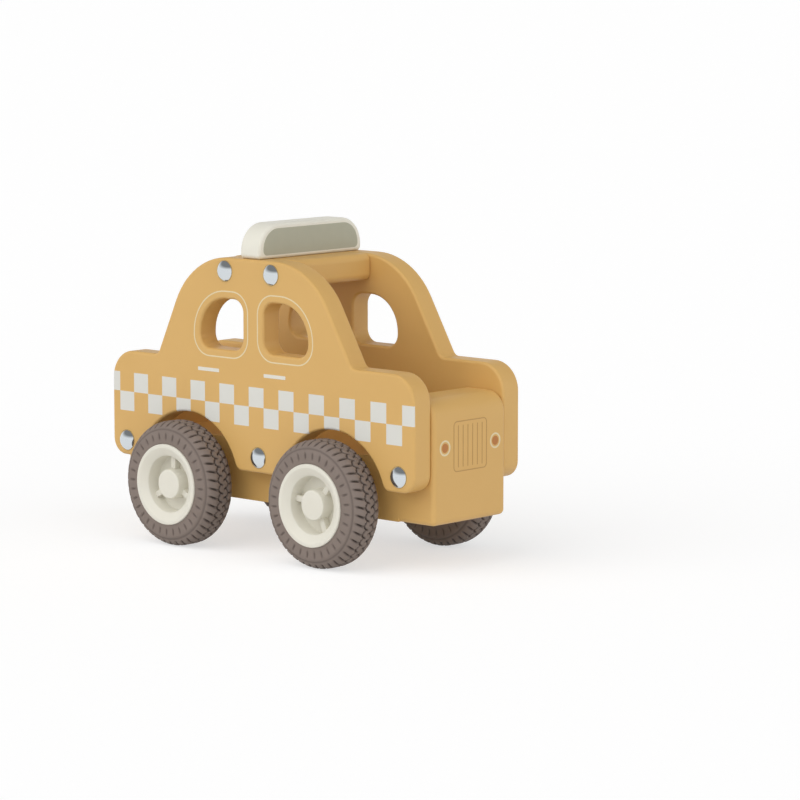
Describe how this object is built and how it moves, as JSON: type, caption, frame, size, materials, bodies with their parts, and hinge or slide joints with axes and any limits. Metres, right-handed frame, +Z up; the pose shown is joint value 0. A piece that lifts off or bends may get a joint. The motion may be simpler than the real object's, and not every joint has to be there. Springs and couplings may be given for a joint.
{
  "type": "toy taxi",
  "caption": "Wooden toy taxi with open cabin, checker band, roof sign and free-rolling rubber-tyred wheels.",
  "frame": {"origin": "on the ground under the middle of the toy", "axes": "+X to the front of the taxi, +Y to its left side, +Z up"},
  "size_m": [0.177, 0.0914, 0.137],
  "materials": {
    "painted_wood": "satin yellow paint over beech",
    "cream_paint": "satin cream paint over beech",
    "bare_wood": "turned, unpainted",
    "chrome": "chrome plated, polished",
    "steel": "drawn rod",
    "cream_plastic": "moulded, satin",
    "rubber": "moulded, matt",
    "nylon": "moulded"
  },
  "bodies": {
    "body": {"right_side_panel": "painted_wood", "left_side_panel": "painted_wood", "front_block": "painted_wood", "rear_block": "painted_wood", "chassis_block": "painted_wood", "roof_board": "painted_wood", "roof_sign": "cream_paint", "sign_dowels": "bare_wood", "right_roof_nails": "chrome", "left_roof_nails": "chrome", "right_lower_nails": "chrome", "left_lower_nails": "chrome", "front_right_bush": "nylon", "front_left_bush": "nylon", "rear_right_bush": "nylon", "rear_left_bush": "nylon"},
    "front_wheels": {"front_axle": "steel", "front_right_rim": "cream_plastic", "front_left_rim": "cream_plastic", "front_right_tyre": "rubber", "front_left_tyre": "rubber"},
    "rear_wheels": {"rear_axle": "steel", "rear_right_rim": "cream_plastic", "rear_left_rim": "cream_plastic", "rear_right_tyre": "rubber", "rear_left_tyre": "rubber"}
  },
  "joints": [
    {"name": "front_axle_spin", "type": "hinge", "parent": "body", "child": "front_wheels", "pos_m": [0.0416, 0, 0.0264], "axis": [0, 1, 0], "continuous": true},
    {"name": "rear_axle_spin", "type": "hinge", "parent": "body", "child": "rear_wheels", "pos_m": [-0.0416, 0, 0.0264], "axis": [0, 1, 0], "continuous": true}
  ]
}
